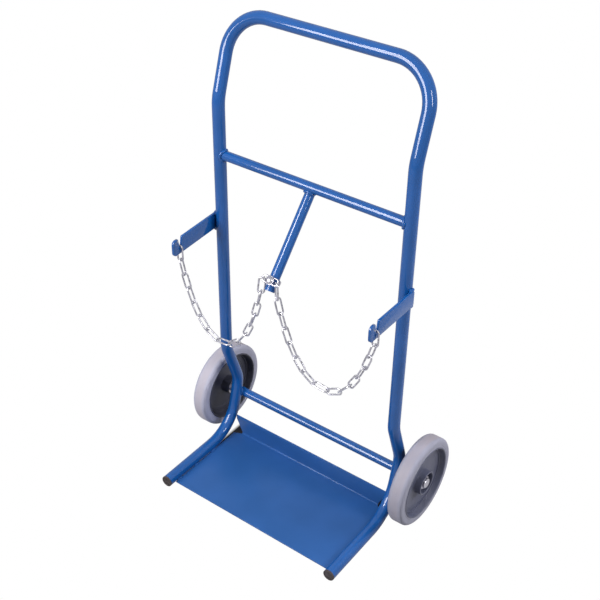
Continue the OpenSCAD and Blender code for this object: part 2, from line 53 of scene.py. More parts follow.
class Socket:
    """A socket of a node tree. Arithmetic on sockets and numbers adds Math nodes."""

    def __init__(self, tree, socket=None):
        self.tree = tree
        self.socket = socket

    def add(self, kind, settings=None, values=None, out=0):
        """Adds a node, sets it, then fills its sockets with values or links."""
        node = self.tree.nodes.new(kind)
        for key, value in (settings or {}).items():
            setattr(node, key, value)
        for key, value in (values or {}).items():
            if isinstance(value, Socket):
                self.tree.links.new(value.socket, node.inputs[key])
            else:
                node.inputs[key].default_value = value
        return Socket(self.tree, node.outputs[out])

    def math(self, operation, *values, clamp=False):
        return self.add("ShaderNodeMath", {"operation": operation, "use_clamp": clamp},
                        dict(enumerate(values)))

    def __add__(self, other):
        return self.math("ADD", self, other)

    def __radd__(self, other):
        return self.math("ADD", other, self)

    def __sub__(self, other):
        return self.math("SUBTRACT", self, other)

    def __rsub__(self, other):
        return self.math("SUBTRACT", other, self)

    def __mul__(self, other):
        return self.math("MULTIPLY", self, other)

    def __rmul__(self, other):
        return self.math("MULTIPLY", other, self)

    def __truediv__(self, other):
        return self.math("DIVIDE", self, other)

    def __pow__(self, other):
        return self.math("POWER", self, other)

    def clamped(self):
        return self.math("ADD", self, 0.0, clamp=True)

    def above(self, edge, width):
        """0 below edge, 1 above edge + width."""
        return ((self - edge) / width).clamped()

    def grain(self, size, detail=2.0, rough=0.5, stretch=(1, 1, 1)):
        """Noise from 0 to 1 whose lumps are about size metres across."""
        place = self.add("ShaderNodeMapping", {}, {"Vector": self, "Scale": stretch})
        return self.add("ShaderNodeTexNoise", {}, {"Vector": place, "Scale": 1 / size,
                        "Detail": detail, "Roughness": rough})

    def away_from(self, point):
        """Distance in metres from a point of the cart."""
        return self.add("ShaderNodeVectorMath", {"operation": "DISTANCE"},
                        {0: self, 1: point}, 1)

    def blend(self, colour_a, colour_b):
        """colour_a where this socket is 0, colour_b where it is 1."""
        return self.add("ShaderNodeMix", {"data_type": "RGBA"},
                        {0: self, 6: colour_a, 7: colour_b}, 2)

    def axis(self, name):
        return self.add("ShaderNodeSeparateXYZ", {}, {0: self}, "XYZ".index(name))

    def bump(self, distance):
        """A normal raised by this height, distance metres at 1."""
        return self.add("ShaderNodeBump", {}, {"Height": self, "Distance": distance,
                        "Strength": 1.0})


def srgb(r, g, b):
    return [(c / 255 / 12.92 if c < 10.3 else ((c / 255 + 0.055) / 1.055) ** 2.4)
            for c in (r, g, b)] + [1.0]


def finish(name, **fixed):
    """A new Principled material with its fixed sockets set, its place socket and its shader."""
    material = bpy.data.materials.new(name)
    material.use_nodes = True
    shader = material.node_tree.nodes["Principled BSDF"]
    for key, value in fixed.items():
        shader.inputs[key.replace("_", " ")].default_value = value
    place = Socket(material.node_tree).add("ShaderNodeTexCoord", out=3)
    return material, place, shader


def wire(shader, **sockets):
    for key, value in sockets.items():
        value.tree.links.new(value.socket, shader.inputs[key.replace("_", " ")])


def coat(node_names, material):
    """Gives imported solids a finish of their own."""
    for name in node_names:
        slots = cart[name].data.materials
        slots.clear()
        slots.append(material)


def powder_coat(name, peel=0.000002, chips=None, blur=0.07, shine=1.0,
                dark=srgb(9, 73, 139), light=srgb(13, 79, 150)):
    """Powder coat: fine orange peel under gloss, a little uneven in depth of colour.
    chips is a point round which the coat is rubbed through to bare steel on its edges."""
    material, place, shader = finish(name, Coat_Roughness=blur, Coat_IOR=1.6,
                                     Specular_IOR_Level=0.05)
    cloud = place.grain(0.09, 3.0)
    peel_height = place.grain(0.0026, 1.0, 0.4) + 2.0 * place.grain(0.011, 1.0)
    colour = cloud.above(0.3, 0.4).blend(dark, light)
    roughness = 0.32 + 0.12 * place.grain(0.03, 3.0)
    gloss = shine * (0.72 + 0.2 * cloud)
    if chips:
        bare = ((0.011 - place.away_from(chips)) / 0.004
                + 3.2 * (place.grain(0.0035, 3.0, 0.6) - 0.56)).clamped()
        bare = bare * place.grain(0.006, 2.0).above(0.5, 0.04)
        colour = bare.blend(colour, srgb(176, 178, 186))
        gloss = gloss * (1 - bare)
        wire(shader, Metallic=bare)
    wire(shader, Base_Color=colour, Roughness=roughness, Coat_Weight=gloss,
         Normal=peel_height.bump(peel))
    return material


coat(["frame_tube"], powder_coat("blue_powder_coat"))

# ---------------------------------------------------------------- crossbar and chain strut
# Two 20 mm tubes under the same coat: the crossbar between the uprights, and the strut that
# slopes forward from its middle to carry the chain bolt.
cross_tube_coat = powder_coat("cross_tube_coat", peel=0.000001)
coat(["upper_crossbar", "chain_strut"], cross_tube_coat)
tube_r = 0.0127
bar_r = 0.010
half_track = 0.2185
upright_y = 0.0355
crossbar_z = 0.7323
strut_top = Vector((0, upright_y, 0.7203))
strut_slope = math.radians(50.8)
strut_dir = Vector((0, -math.cos(strut_slope), -math.sin(strut_slope)))
strut_out = Vector((0, -math.sin(strut_slope), math.cos(strut_slope)))

# ---------------------------------------------------------------- axle
# A 20 mm bar behind both uprights, coated with the frame. The wheels hide its bare ends.
axle_y = 0.082
axle_z = 0.100
axle_r = 0.010
coat(["axle"], powder_coat("axle_coat", peel=0.000001))

# ---------------------------------------------------------------- base plate
# Folded 2.5 mm sheet that carries the cylinders, its cut edges rounded by the shears and the
# coat. The edges of its flat run out under the round of the runners, where it is tacked. Its
# paint is less glossy than the tubes' paint, and redder: a painted sheen, the pale reflection
# that its lower gloss no longer gives, painted into its colour.


def plain_mesh(name, material, smooth=35):
    """Turns a worked bmesh into a piece's mesh, its faces outwards and its edges softened."""
    def done(work):
        bmesh.ops.recalc_face_normals(work, faces=work.faces)
        mesh = bpy.data.meshes.new(name)
        work.to_mesh(mesh)
        work.free()
        mesh.polygons.foreach_set("use_smooth", [True] * len(mesh.polygons))
        mesh.set_sharp_from_angle(angle=math.radians(smooth))
        mesh.materials.clear()
        mesh.materials.append(material)
        return mesh
    return done


def fit(name, mesh, body, slot, *nodes):
    """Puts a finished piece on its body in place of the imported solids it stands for."""
    piece = bpy.data.objects.new(name, mesh)
    bpy.context.scene.collection.objects.link(piece)
    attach(piece, body)
    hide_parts(*nodes)
    return piece


def rounded_edges(work, width, angle=40, steps=2):
    """Rounds every edge of a worked bmesh that is sharper than the angle."""
    sharp = [e for e in work.edges
             if len(e.link_faces) == 2 and e.calc_face_angle(0) > math.radians(angle)]
    bmesh.ops.bevel(work, geom=sharp, offset=width, segments=steps, profile=0.5,
                    affect="EDGES", clamp_overlap=True)


plate_edge = 0.2050
plate_tuck = 0.2069
plate_top = 0.0075
fold_start = 0.045
plate = bmesh.new()
plate.from_mesh(cart["base_plate"].data)
bmesh.ops.remove_doubles(plate, verts=plate.verts, dist=1e-6)
bmesh.ops.dissolve_limit(plate, angle_limit=math.radians(0.5), verts=plate.verts,
                         edges=plate.edges)
for corner in plate.verts:
    if abs(corner.co.x) > plate_edge and corner.co.z < plate_top and corner.co.y < fold_start:
        corner.co.x = math.copysign(plate_tuck, corner.co.x)
rounded_edges(plate, 0.0005)
# Painted sheen: the sheet's redder colour stands in for the pale reflection that its lower gloss
# gives up.
sheet_coat_and_painted_sheen = powder_coat("sheet_coat_and_painted_sheen", blur=0.3, shine=0.5, dark=srgb(36, 79, 137),
                         light=srgb(40, 85, 148))
fit("folded_base_plate", plain_mesh("folded_base_plate", sheet_coat_and_painted_sheen)(plate),
    "frame", "paint", "base_plate")

# ---------------------------------------------------------------- chain brackets
# Two flat bars, 35 by 5 mm, sawn, notched and welded to the outsides of the uprights. The
# left one was welded on turned slightly inwards. Chains have rubbed the coat at the notch.
touch = 0.00003
bracket_t = 0.005
bracket_low, bracket_high = 0.562, 0.597
bracket_reach = 0.143
slot_reach = 0.121
slot_low = 0.576
slot_r = 0.0033
left_toe_in = math.radians(3.8)


def arc(centre, radius, start, end, steps):
    """Points of an arc, its angles in degrees."""
    return [(centre[0] + radius * math.cos(math.radians(start + (end - start) * i / steps)),
             centre[1] + radius * math.sin(math.radians(start + (end - start) * i / steps)))
            for i in range(steps + 1)]


def at_upright(toe, side):
    """From an upright's own frame, bar side outwards, to the cart's frame."""
    return (Matrix.Diagonal((side, 1, 1, 1))
            @ Matrix.Translation((half_track, upright_y, 0)) @ Matrix.Rotation(-toe, 4, "Z"))


def notched_bar(name, toe, side, material):
    mouth = 0.0062
    outline = (arc((0.003 - 0.005, bracket_low + 0.005), 0.005, -90, 0, 6)
               + arc((0.003 - 0.005, bracket_high - 0.005), 0.005, 0, 90, 6)
               + arc((-slot_reach + mouth + 0.0016, bracket_high - 0.0015), 0.0015, 90, 170, 4)
               + arc((-slot_reach, slot_low + slot_r), slot_r, 0, -180, 12)
               + arc((-slot_reach - mouth - 0.0022, bracket_high - 0.0022), 0.0022, 10, 90, 5)
               + arc((0.009 - bracket_reach, bracket_high - 0.009), 0.009, 90, 180, 10)
               + arc((0.009 - bracket_reach, bracket_low + 0.009), 0.009, 180, 270, 10))
    work = bmesh.new()
    face = work.faces.new([work.verts.new((tube_r + touch, y, z)) for y, z in outline])
    grown = bmesh.ops.extrude_face_region(work, geom=[face])["geom"]
    bmesh.ops.translate(work, vec=(bracket_t, 0, 0),
                        verts=[v for v in grown if isinstance(v, bmesh.types.BMVert)])
    rounded_edges(work, 0.0006, angle=60, steps=3)
    work.transform(at_upright(toe, side))
    return plain_mesh(name, material)(work)


for side_name, side, toe in (("left", -1, left_toe_in), ("right", 1, 0)):
    notch = at_upright(toe, side) @ Vector((tube_r + 0.004, -slot_reach - 0.006, slot_low + 0.014))
    rubbed = powder_coat(side_name + "_bracket_coat", chips=notch)
    fit(side_name + "_notched_bar", notched_bar(side_name + "_notched_bar", toe, side, rubbed),
        "frame", "paint", side_name + "_chain_bracket")

# ---------------------------------------------------------------- welds
# Beads laid round every joint before coating. Each pool of metal froze as a small crescent,
# so the bead is ribbed, and it starts and stops with a rounded end.


def recipe(name, inputs):
    """A Geometry Nodes tree with these named inputs. Returns it and its input sockets."""
    tree = bpy.data.node_groups.new(name, "GeometryNodeTree")
    tree.interface.new_socket("Geometry", in_out="INPUT", socket_type="NodeSocketGeometry")
    for label, kind in inputs.items():
        tree.interface.new_socket(label, in_out="INPUT", socket_type="NodeSocket" + kind)
    tree.interface.new_socket("Geometry", in_out="OUTPUT", socket_type="NodeSocketGeometry")
    entry = tree.nodes.new("NodeGroupInput")
    return tree, {s.name: Socket(tree, s) for s in entry.outputs if s.name}


def serve(tree, geometry, material):
    """Ends a tree: realises what it made, gives it its finish and puts it out."""
    solid = geometry.add("GeometryNodeRealizeInstances", {}, {"Geometry": geometry})
    coated = solid.add("GeometryNodeSetMaterial", {}, {"Geometry": solid, "Material": material})
    tree.links.new(coated.socket, tree.nodes.new("NodeGroupOutput").inputs[0])


def grow(tree, mesh, values):
    """Runs a tree on a mesh with these values for its inputs, and returns a plain mesh."""
    source = bpy.data.objects.new("source", mesh)
    bpy.context.scene.collection.objects.link(source)
    modifier = source.modifiers.new("grow", "NODES")
    modifier.node_group = tree
    for item in tree.interface.items_tree:
        if item.in_out == "INPUT" and item.name in values:
            modifier[item.identifier] = values[item.name]
    ready = source.evaluated_get(bpy.context.evaluated_depsgraph_get())
    result = bpy.data.meshes.new_from_object(ready)
    bpy.data.objects.remove(source)
    return result


def line_mesh(name, points, closed):
    mesh = bpy.data.meshes.new(name)
    edges = [(i, i + 1) for i in range(len(points) - 1)]
    mesh.from_pydata(points, edges + ([(len(points) - 1, 0)] if closed else []), [])
    return mesh


def weld_recipe():
    tree, given = recipe("weld_bead", {
        "Bead radius": "Float", "Ripple length": "Float", "Ripple depth": "Float",
        "Rounded ends": "Float", "Seed": "Int", "Finish": "Material"})
    path = given["Geometry"].add("GeometryNodeMeshToCurve", {}, {0: given["Geometry"]})
    path = path.add("GeometryNodeResampleCurve", {"mode": "LENGTH"},
                    {"Curve": path, "Length": given["Ripple length"] / 7})
    along = path.add("GeometryNodeSplineParameter", out=1)
    share = path.add("GeometryNodeSplineParameter", out=0)
    pool = (along / given["Ripple length"]).math("FRACT", along / given["Ripple length"])
    crescent = 1 - (2 * pool - 1) ** 2.0
    edge = (1 - (2 * share - 1).math("ABSOLUTE", 2 * share - 1)) * 5
    rounded = edge.clamped() ** 0.5
    wobble = path.add("ShaderNodeTexNoise", {"noise_dimensions": "4D"},
                      {"W": given["Seed"] * 3.7, "Scale": 260.0, "Detail": 1.0})
    size = (1 + given["Ripple depth"] * (crescent - 0.6) + 0.35 * (wobble - 0.5))
    size = size * (1 - given["Rounded ends"] * (1 - rounded) * 0.85)
    path = path.add("GeometryNodeSetCurveRadius", {}, {"Curve": path, "Radius": size})
    ring = path.add("GeometryNodeCurvePrimitiveCircle", {},
                    {"Resolution": 14, "Radius": given["Bead radius"]})
    bead = path.add("GeometryNodeCurveToMesh", {},
                    {"Curve": path, "Profile Curve": ring, "Fill Caps": True})
    serve(tree, bead, given["Finish"])
    return tree


weld_coat = powder_coat("weld_coat", peel=0.00002)
weld_bead = weld_recipe()
bead_lift = 0.0008
axle_gap = 0.01915
jog_y = (0.0425, 0.073)
jog_z = (0.0127, 0.1468)


def welds(name, node, paths, radius, closed, depth=0.28, ripple=0.0021):
    work = bmesh.new()
    for seed, points in enumerate(paths):
        work.from_mesh(grow(weld_bead, line_mesh(name, points, closed), {
            "Bead radius": radius, "Ripple length": ripple, "Ripple depth": depth,
            "Rounded ends": 0.0 if closed else 1.0, "Seed": seed, "Finish": weld_coat}))
    bmesh.ops.remove_doubles(work, verts=work.verts, dist=1e-7)
    fit(name, plain_mesh(name, weld_coat, smooth=60)(work), "frame", "paint", node)


def crossbar_ring(side):
    near = tube_r + bead_lift
    round_bar = bar_r + bead_lift
    turns = [2 * math.pi * i / 72 for i in range(72)]
    return [Vector((side * (half_track - math.sqrt(near ** 2 - (round_bar * math.sin(a)) ** 2)),
                    upright_y + round_bar * math.sin(a), crossbar_z + round_bar * math.cos(a)))
            for a in turns]


def strut_saddle():
    round_bar = bar_r + bead_lift
    points = []
    for i in range(61):
        turn = math.radians(-14 + 208 * i / 60)
        start = (strut_top + round_bar * (math.cos(turn) * Vector((1, 0, 0))
                 + math.sin(turn) * strut_out))
        arm = Vector((0, start.y - upright_y, start.z - crossbar_z))
        lead = arm.dot(strut_dir)
        reach = -lead + math.sqrt(max(lead ** 2 - arm.length_squared + round_bar ** 2, 0))
        points.append(start + reach * strut_dir)
    return points


def axle_loop(side):
    lean = math.atan2(jog_y[1] - jog_y[0], jog_z[1] - jog_z[0])
    near = tube_r + bead_lift
    round_axle = axle_r + bead_lift
    widest = math.acos((axle_gap - near) / round_axle)
    points = []
    for i in range(96):
        turn = 2 * math.pi * i / 96
        swing = widest * math.sin(turn)
        gap = axle_gap - round_axle * math.cos(swing)
        out = math.sqrt(max(near ** 2 - gap ** 2, 0)) * (1 if math.cos(turn) >= 0 else -1)
        back, up = -round_axle * math.cos(swing), round_axle * math.sin(swing)
        points.append(Vector((side * half_track + out,
                              axle_y + back * math.cos(lean) + up * math.sin(lean),
                              axle_z - back * math.sin(lean) + up * math.cos(lean))))
    return points


def bracket_tacks(toe, side):
    place = at_upright(toe, side)
    for z in (bracket_low - bead_lift, bracket_high + bead_lift):
        yield [place @ Vector((math.sqrt((tube_r + 0.0012) ** 2 - y ** 2), y, z))
               for y in (-0.0075 + 0.0105 * i / 12 for i in range(13))]


welds("crossbar_beads", "crossbar_welds", [crossbar_ring(-1), crossbar_ring(1)], 0.0031, True)
welds("strut_bead", "strut_weld", [strut_saddle()], 0.0031, False)
welds("axle_beads", "axle_welds", [axle_loop(-1), axle_loop(1)], 0.0026, True)
welds("bracket_beads", "bracket_welds",
      [p for s, t in ((-1, left_toe_in), (1, 0)) for p in bracket_tacks(t, s)], 0.0034, False)
welds("plate_tacks", "plate_welds",
      [[Vector((side * 0.2065, y - 0.007 + 0.014 * i / 14, 0.0066)) for i in range(15)]
       for side in (-1, 1) for y in (-0.152, -0.096, -0.040)], 0.0025, False, depth=0.35)

# ---------------------------------------------------------------- chain
# Bright zinc plated links of 3.5 mm wire, each bent round and butt welded on one side. One
# link is clamped by the bolt, and a chain of fifteen hangs from each of its ends to a notch.
wire_r = 0.00175
link_half_w = 0.00625
link_play = 0.0008
link_span = 0.0314 + link_play + 2 * wire_r
run_links = 13


def zinc_plate(name, dull=0.0, dark=0.0):
    """Bright zinc plate: pale metal with soft cloudy patches, fine scratches and grey grime."""
    material, place, shader = finish(name, Metallic=1.0)
    blotch = place.grain(0.006, 3.0, 0.6)
    scratch = place.grain(0.0009, 3.0, 0.7, stretch=(1, 4, 4))
    grime = place.grain(0.012, 4.0, 0.65).above(0.5, 0.12)
    colour = blotch.blend(srgb(186, 185, 198), srgb(226, 226, 236))
    colour = ((0.15 + dark) * grime).blend(colour, srgb(90, 84, 98))
    wire(shader, Base_Color=colour, Roughness=0.2 + dull + 0.14 * blotch,
         Normal=(scratch + 0.5 * blotch).bump(0.000012))
    return material, place, shader


def chain_finish():
    """The wire's plate, with the grey butt weld and the bends polished where links rub."""
    material, place, shader = zinc_plate("chain_zinc", 0.04, 0.25)
    weld = place.add("ShaderNodeAttribute", {"attribute_name": "weld"}, out=2)
    bend = place.add("ShaderNodeAttribute", {"attribute_name": "bend"}, out=2)
    under = shader.inputs["Base Color"].links[0].from_socket
    rubbed = (0.6 * bend).blend(Socket(material.node_tree, under), srgb(214, 214, 220))
    wire(shader, Base_Color=(0.7 * weld).blend(rubbed, srgb(128, 126, 134)))
    return material


def link_recipe():
    tree, given = recipe("wire_link", {
        "Wire radius": "Float", "Weld swell": "Float", "Half width": "Float",
        "Straight": "Float", "Finish": "Material"})
    at = given["Geometry"].add("GeometryNodeInputPosition")
    x, y = at.axis("X"), at.axis("Y")
    side = (y / given["Half width"]).above(0.9, 0.1)
    weld = side * (1 - (x.math("ABSOLUTE", x) / 0.0028)).clamped()
    bend = (x.math("ABSOLUTE", x) - given["Straight"] / 2).above(0.0, 0.003)
    path = given["Geometry"].add("GeometryNodeMeshToCurve", {}, {0: given["Geometry"]})
    for label, value in (("weld", weld), ("bend", bend)):
        path = path.add("GeometryNodeStoreNamedAttribute",
                        {"data_type": "FLOAT", "domain": "POINT"},
                        {"Geometry": path, "Name": label, "Value": value})
    path = path.add("GeometryNodeSetCurveRadius", {}, {
        "Curve": path, "Radius": 1 + given["Weld swell"] * weld.math("POWER", weld, 0.6)})
    ring = path.add("GeometryNodeCurvePrimitiveCircle", {},
                    {"Resolution": 14, "Radius": given["Wire radius"]})
    serve(tree, path.add("GeometryNodeCurveToMesh", {},
          {"Curve": path, "Profile Curve": ring}), given["Finish"])
    return tree


def run_recipe():
    """Hangs copies of a link: the slope of link i is (i - middle) / slack, and a short seat
    stands between two links. Odd links lie across the chain's plane, even ones along it."""
    tree, given = recipe("hanging_run", {
        "Links": "Int", "Span": "Float", "Seat": "Float", "Straight": "Float",
        "Middle": "Float", "Slack": "Float", "Twist": "Float", "Finish": "Material"})
    line = given["Geometry"].add("GeometryNodeMeshLine", {},
                                 {"Count": 2 * given["Links"], "Offset": (0, 0, 0)})
    count = line.add("GeometryNodeInputIndex")
    number = (count + 1) / 2
    is_link = count.math("MODULO", count, 2.0)
    is_even = 1 - number.math("MODULO", number, 2.0).math(
        "COMPARE", number.math("MODULO", number, 2.0), 1.0, 0.25)
    slope = (number - given["Middle"]) / given["Slack"]
    length = (is_link * (given["Span"] + is_even * (given["Straight"] - given["Span"]))
              + (1 - is_link) * given["Seat"])
    flat = length / (1 + slope * slope) ** 0.5
    stride = line.add("ShaderNodeCombineXYZ", {}, {"X": flat, "Y": 0.0, "Z": flat * slope})
    trail = line.add("GeometryNodeAccumulateField", {"data_type": "FLOAT_VECTOR"},
                     {0: stride}, 1)
    half = line.add("ShaderNodeVectorMath", {"operation": "SCALE"}, {0: stride, "Scale": 0.5})
    spot = line.add("ShaderNodeVectorMath", {"operation": "ADD"}, {0: trail, 1: half})
    line = line.add("GeometryNodeSetPosition", {}, {"Geometry": line, "Position": spot})
    turned = (given["Twist"] * (1 - 2 * (number - 1) / (given["Links"] - 1))
              + is_even * (math.pi / 2))
    turn = line.add("ShaderNodeCombineXYZ", {}, {
        "X": turned, "Y": slope.math("ARCTANGENT", slope) * -1, "Z": 0.0})
    hung = line.add("GeometryNodeInstanceOnPoints", {}, {
        "Points": line, "Selection": is_link, "Instance": given["Geometry"], "Rotation": turn})
    serve(tree, hung, given["Finish"])
    return tree


def link_outline():
    straight = link_span / 2 - link_half_w
    bend = [(straight + x, y) for x, y in arc((0, 0), link_half_w, -90, 90, 14)]
    top = [(straight * (1 - 2 * i / 18), link_half_w) for i in range(1, 18)]
    other = [(-x, -y) for x, y in bend + top]
    return [Vector((x, y, 0)) for x, y in bend + top + other]


def hang(span, rise):
    """Middle and slack at which the run spans this far and ends this much higher."""
    def end(middle, slack):
        x = z = 0
        for k in range(2 * run_links + 1):
            i = (k + 1) / 2
            step = (link_half_w - 2 * wire_r - link_play if k % 2 == 0
                    else link_span if i % 2 else link_span - 2 * link_half_w)
            slope = (i - middle) / slack
            x += step / math.hypot(1, slope)
            z += step * slope / math.hypot(1, slope)
        return x, z

    low_slack, high_slack = 0.05, 20.0
    for _ in range(40):
        slack = (low_slack + high_slack) / 2
        low, high = 0.0, 20.0
        for _ in range(40):
            middle = (low + high) / 2
            low, high = (middle, high) if end(middle, slack)[1] > rise else (low, middle)
        low_slack, high_slack = (slack, high_slack) if end(middle, slack)[0] < span \
            else (low_slack, slack)
    return middle, slack


chain_zinc = chain_finish()
link = grow(link_recipe(), line_mesh("link", link_outline(), True), {
    "Wire radius": wire_r, "Weld swell": 0.24, "Half width": link_half_w,
    "Straight": link_span - 2 * link_half_w, "Finish": chain_zinc})
hanging_run = run_recipe()
bolt_down_strut = 0.179
hook_drop, hook_rise = 0.0004, 0.00347
bolt_spot = strut_top + bolt_down_strut * strut_dir
clamped_at = bolt_spot + (bar_r + wire_r + touch) * strut_out
bolt_end = (clamped_at + Vector((link_span / 2 - wire_r, 0, 0)) + hook_drop * strut_dir
            + hook_rise * strut_out)
hook_tilt, hook_heading = math.radians(5.7), math.radians(31.6)
hook_dir = Vector((math.sin(hook_tilt) * math.cos(hook_heading),
                   -math.sin(hook_tilt) * math.sin(hook_heading), -math.cos(hook_tilt)))
run_start = bolt_end + (link_span - link_half_w) * hook_dir


def linked(name, mesh, place, body, node):
    """One link, or one run of links, put in its place."""
    work = bmesh.new()
    work.from_mesh(mesh)
    bmesh.ops.remove_doubles(work, verts=work.verts, dist=1e-7)
    work.transform(place)
    fit(name, plain_mesh(name, chain_zinc, smooth=60)(work), body, "zinc", node)


def turn(angle, axis):
    return Matrix.Rotation(angle, 4, axis)


quarter = math.pi / 2
linked("clamped_link", link, Matrix.Translation(clamped_at) @ turn(strut_slope, "X"),
       "frame", "centre_link")
for side_name, side, toe in (("left", -1, left_toe_in), ("right", 1, 0)):
    sided = Matrix.Diagonal((side, 1, 1, 1))
    out = tube_r + touch + bracket_t / 2
    slot_bend = link_half_w - wire_r - 0.00035
    seat_z = slot_low + link_half_w - math.sqrt(slot_bend ** 2 - bracket_t ** 2 / 4)
    slot_end = (Matrix.Translation((half_track, upright_y, 0)) @ turn(-toe, "Z")
                @ Vector((out, -slot_reach, seat_z)))
    way = slot_end - Vector((0, 0, link_span - link_half_w)) - run_start
    middle, slack = hang(math.hypot(way.x, way.y), way.z)
    run = grow(hanging_run, link, {
        "Links": run_links, "Span": link_span, "Straight": link_span - 2 * link_half_w,
        "Seat": link_half_w - 2 * wire_r - link_play, "Middle": middle, "Slack": slack,
        "Twist": math.radians(20), "Finish": chain_zinc})
    linked(side_name + "_hooked_link", link,
           sided @ Matrix.Translation(bolt_end) @ turn(-hook_heading, "Z")
           @ turn(quarter - hook_tilt, "Y") @ Matrix.Translation((link_span / 2, 0, 0))
           @ turn(quarter, "X"), side_name + "_hook_link", side_name + "_bolt_end_link")
    linked(side_name + "_notch_link", link,
           sided @ Matrix.Translation(slot_end - Vector((0, 0, link_span / 2)))
           @ turn(-toe, "Z") @ turn(quarter, "Y") @ turn(quarter, "X"),
           side_name + "_slot_link", side_name + "_slot_end_link")
    linked(side_name + "_hanging_chain", run,
           sided @ Matrix.Translation(run_start) @ turn(math.atan2(way.y, way.x), "Z"),
           side_name + "_chain", side_name + "_chain_links")

# ---------------------------------------------------------------- chain bolt
# A domed bolt through the strut, with a washer each side and a nut behind, clamps the middle
# link flat against the strut. All are bright zinc plated.
bolt_zinc = zinc_plate("bolt_zinc", dull=0.02, dark=0.1)[0]


def round_of(work, radius, height, steps):
    """A ring of vertices round +Z."""
    return [work.verts.new((radius * math.cos(2 * math.pi * i / steps),
                            radius * math.sin(2 * math.pi * i / steps), height))
            for i in range(steps)]


def lathed(name, profile, material, place, steps=72, smooth=35):
    """A turned piece: profile is a closed chain of (radius, height) round the place's +Z."""
    work = bmesh.new()
    rings = []
    for radius, height in profile:
        if radius < 1e-7:
            rings.append([work.verts.new((0, 0, height))])
        else:
            rings.append(round_of(work, radius, height, steps))
    closed = len(rings[0]) > 1
    for a, b in zip(rings, rings[1:] + (rings[:1] if closed else [])):
        for i in range(steps):
            j = (i + 1) % steps
            corners = [a[i % len(a)], a[j % len(a)], b[j % len(b)], b[i % len(b)]]
            corners = [v for n, v in enumerate(corners) if v not in corners[:n]]
            if len(corners) > 2:
                work.faces.new(corners)
    work.transform(place)
    return plain_mesh(name, material, smooth)(work)


def on_bolt(height):
    return Matrix.Translation(bolt_spot + height * strut_out) @ turn(strut_slope, "X")


def rounded_ring(inner, outer, low, high, edge):
    """Profile of a washer whose outer edges are rounded."""
    return ([(inner, low)] + arc((outer - edge, low + edge), edge, -90, 0, 4)
            + arc((outer - edge, high - edge), edge, 0, 90, 4) + [(inner, high)])


washer_t = 0.0016
front_washer = bar_r + 2 * wire_r + 2 * touch
head_low = front_washer + washer_t + touch
nut_high = -bar_r - touch - washer_t - touch
nut_h = 0.0065
thread = [(0.0039 - 0.0003 * (i % 2), nut_high - nut_h - 0.0026 + 0.0006 * i) for i in range(16)]
dome_r = (0.008 ** 2 + 0.0046 ** 2) / (2 * 0.0046)
dome_half = math.degrees(math.asin(0.008 / dome_r))
bolt_profile = ([(0, nut_high - nut_h - 0.003), (0.0033, nut_high - nut_h - 0.003)] + thread
                + [(0.0039, head_low), (0.0077, head_low), (0.008, head_low + 0.0003)]
                + arc((0, head_low + 0.005 - dome_r), dome_r, 90 - dome_half, 90, 14)[:-1]
                + [(0, head_low + 0.005)])
fit("domed_bolt", lathed("domed_bolt", bolt_profile, bolt_zinc, on_bolt(0)),
    "frame", "zinc", "chain_bolt")
washers = bmesh.new()
for low in (front_washer, -bar_r - touch - washer_t):
    washers.from_mesh(lathed("washer", rounded_ring(0.0041, 0.0086, low, low + washer_t, 0.0004),
                             bolt_zinc, on_bolt(0)))
fit("bolt_washer_pair", plain_mesh("bolt_washer_pair", bolt_zinc)(washers),
    "frame", "zinc", "bolt_washers")


def hexagon_nut(name, flats, height, bore, place):
    """Chamfered hexagon nut: each ring is the hexagon, held in by the chamfer's cone."""
    steps = 72
    work = bmesh.new()
    rings = []
    for z, limit in ((0, 0.96), (0.0007, 1.17), (height - 0.0007, 1.17), (height, 0.96)):
        ring = []
        for i in range(steps):
            angle = 2 * math.pi * i / steps
            off = (angle + math.pi / 6) % (math.pi / 3) - math.pi / 6
            radius = min(flats / 2 / math.cos(off), flats / 2 * limit)
            ring.append(work.verts.new((radius * math.cos(angle), radius * math.sin(angle), z)))
        rings.append(ring)
    for z, radius in ((height, bore + 0.0004), (height - 0.0004, bore), (0.0004, bore),
                      (0, bore + 0.0004)):
        rings.append(round_of(work, radius, z, steps))
    for a, b in zip(rings, rings[1:] + rings[:1]):
        for i in range(steps):
            work.faces.new((a[i], a[(i + 1) % steps], b[(i + 1) % steps], b[i]))
    work.transform(place)
    return plain_mesh(name, bolt_zinc, smooth=25)(work)


fit("hexagon_nut", hexagon_nut("hexagon_nut", 0.013, nut_h, 0.00395, on_bolt(nut_high - nut_h)),
    "frame", "zinc", "chain_nut")

# ---------------------------------------------------------------- tyres
# Solid grey rubber tyres, 200 by 36 mm, pressed on the rims. A fine flash line from the mould
# runs round the middle, and a shallow groove round each shoulder. The right one is painted
# darker: painted shade, the two tyres being a lit and a shaded copy of one rubber.
wheel_x = 0.263
half_tyre = 0.018


def solid_rubber(name, middle, tones):
    material, place, shader = finish(name, IOR=1.45, Specular_IOR_Level=0.4)
    cloud = place.grain(0.03, 4.0, 0.6)
    pores = place.grain(0.0011, 3.0, 0.6)
    spots = place.grain(0.0045, 3.0, 0.7).above(0.7, 0.06)
    off = place.axis("X") - middle
    worn = 1 - (off.math("ABSOLUTE", off) / half_tyre - 0.35).above(0.0, 0.35)
    colour = cloud.blend(tones[0], tones[1])
    colour = (0.9 * worn * place.grain(0.05, 2.0)).blend(colour, tones[2])
    colour = (0.6 * spots).blend(colour, tones[3])
    wire(shader, Base_Color=colour, Roughness=0.5 + 0.16 * cloud,
         Normal=(pores + 2.0 * place.grain(0.012, 2.0)).bump(0.00006))
    return material


def at_wheel(side):
    """From a wheel's own frame, +Z out of the cart, to the cart's frame."""
    return (Matrix.Diagonal((side, 1, 1, 1)) @ Matrix.Translation((wheel_x, axle_y, axle_z))
            @ turn(quarter, "Y"))


